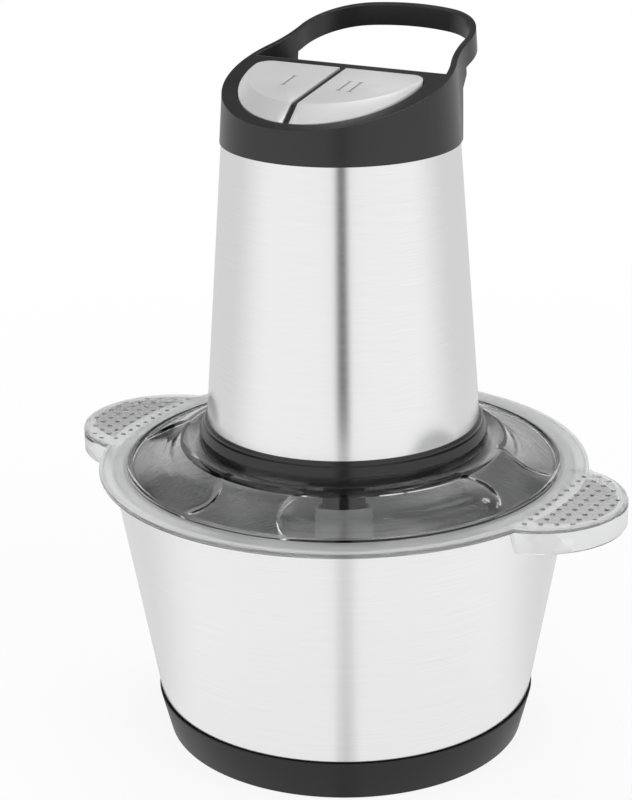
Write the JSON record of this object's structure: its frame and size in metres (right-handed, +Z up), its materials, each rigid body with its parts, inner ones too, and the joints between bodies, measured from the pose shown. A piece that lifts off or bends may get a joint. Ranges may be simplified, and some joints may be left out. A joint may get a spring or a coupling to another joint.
{
  "type": "electric food chopper",
  "caption": "Electric food chopper: brushed steel bowl with crossed blades, clear scalloped lid with side lugs, and a lift-off motor head with a sloping handle and press buttons.",
  "frame": {"origin": "centre of the foot ring, on the table", "axes": "+Z up along the blade's axis, -Y to the front with the buttons, +X to the right lug"},
  "size_m": [0.257, 0.2094, 0.3066],
  "materials": {
    "steel": "brushed round its axis",
    "black_plastic": "satin",
    "clear_plastic": "clear, polished",
    "silver_plastic": "satin silver",
    "blade_steel": "ground",
    "grey_plastic": "moulded",
    "seal_rubber": "soft, translucent",
    "black_rubber": "matt",
    "dark_plastic": "moulded",
    "gear_steel": "cut, oiled",
    "plated_steel": "plated",
    "bush_bronze": "sintered",
    "stacked_iron": "stacked sheet",
    "copper": "enamelled wire",
    "carbon": "pressed carbon",
    "zinc": "cast"
  },
  "bodies": {
    "bowl": {"bowl": "steel", "foot_ring": "black_plastic", "spindle_base": "grey_plastic", "blade_spindle": "blade_steel"},
    "blade": {"blade_stem": "grey_plastic", "lower_blade": "blade_steel", "upper_blade": "blade_steel", "blade_spacer": "grey_plastic", "blade_nut": "grey_plastic"},
    "lid": {"lid": "clear_plastic", "lid_seal": "seal_rubber"},
    "head": {"motor_base": "black_plastic", "cord_gland": "black_rubber", "motor_shell": "steel", "output_bush": "bush_bronze", "gearbox_case": "dark_plastic", "gearbox_cover": "dark_plastic", "base_screws": "plated_steel", "gearbox_screws": "plated_steel", "ring_gear": "gear_steel", "lower_bearing": "plated_steel", "upper_bearing": "plated_steel", "stator": "stacked_iron", "field_coils": "copper", "motor_bolts": "plated_steel", "bolt_spacers": "plated_steel", "motor_bracket": "zinc", "brushes": "carbon", "brush_holders": "dark_plastic", "top_cover": "black_plastic", "plate_screws": "plated_steel", "switch_plate": "dark_plastic", "micro_switches": "dark_plastic", "spring_1": "plated_steel", "spring_2": "plated_steel"},
    "armature": {"armature_shaft": "gear_steel", "armature_core": "stacked_iron", "armature_windings": "copper", "commutator": "copper", "cooling_fan": "dark_plastic", "sun_pinion": "gear_steel"},
    "carrier": {"planet_carrier": "gear_steel", "pin_clips": "plated_steel"},
    "planet_1": {"planet_gear_1": "gear_steel"},
    "planet_2": {"planet_gear_2": "gear_steel"},
    "planet_3": {"planet_gear_3": "gear_steel"},
    "button_1": {"button_1": "silver_plastic"},
    "button_2": {"button_2": "silver_plastic"}
  },
  "joints": [
    {"name": "lid_lift", "type": "slide", "parent": "bowl", "child": "lid", "axis": [0, 0, 1], "range_m": [0, 0.15]},
    {"name": "head_lift", "type": "slide", "parent": "lid", "child": "head", "axis": [0, 0, 1], "range_m": [0, 0.12]},
    {"name": "blade_spin", "type": "hinge", "parent": "bowl", "child": "blade", "pos_m": [0, 0, 0.02], "axis": [0, 0, 1], "continuous": true},
    {"name": "armature_spin", "type": "hinge", "parent": "head", "child": "armature", "pos_m": [0, 0, 0.2], "axis": [0, 0, 1], "continuous": true},
    {"name": "carrier_spin", "type": "hinge", "parent": "head", "child": "carrier", "pos_m": [0, 0, 0.135], "axis": [0, 0, 1], "continuous": true},
    {"name": "planet_1_spin", "type": "hinge", "parent": "carrier", "child": "planet_1", "pos_m": [0, 0.0225, 0.1434], "axis": [0, 0, 1], "continuous": true},
    {"name": "planet_2_spin", "type": "hinge", "parent": "carrier", "child": "planet_2", "pos_m": [-0.01949, -0.01125, 0.1434], "axis": [0, 0, 1], "continuous": true},
    {"name": "planet_3_spin", "type": "hinge", "parent": "carrier", "child": "planet_3", "pos_m": [0.01949, -0.01125, 0.1434], "axis": [0, 0, 1], "continuous": true},
    {"name": "button_1_press", "type": "slide", "parent": "head", "child": "button_1", "axis": [0, 0, -1], "range_m": [0, 0.0025], "stiffness_N_per_m": 1200, "springref_m": -0.0012, "deforming": ["spring_1"]},
    {"name": "button_2_press", "type": "slide", "parent": "head", "child": "button_2", "axis": [0, 0, -1], "range_m": [0, 0.0025], "stiffness_N_per_m": 1200, "springref_m": -0.0012, "deforming": ["spring_2"]}
  ],
  "couplings": [
    {"joint": "blade_spin", "follows": "armature_spin", "ratio": 0.2},
    {"joint": "carrier_spin", "follows": "armature_spin", "ratio": 0.2},
    {"joint": "planet_1_spin", "follows": "armature_spin", "ratio": -0.53333},
    {"joint": "planet_2_spin", "follows": "armature_spin", "ratio": -0.53333},
    {"joint": "planet_3_spin", "follows": "armature_spin", "ratio": -0.53333}
  ]
}
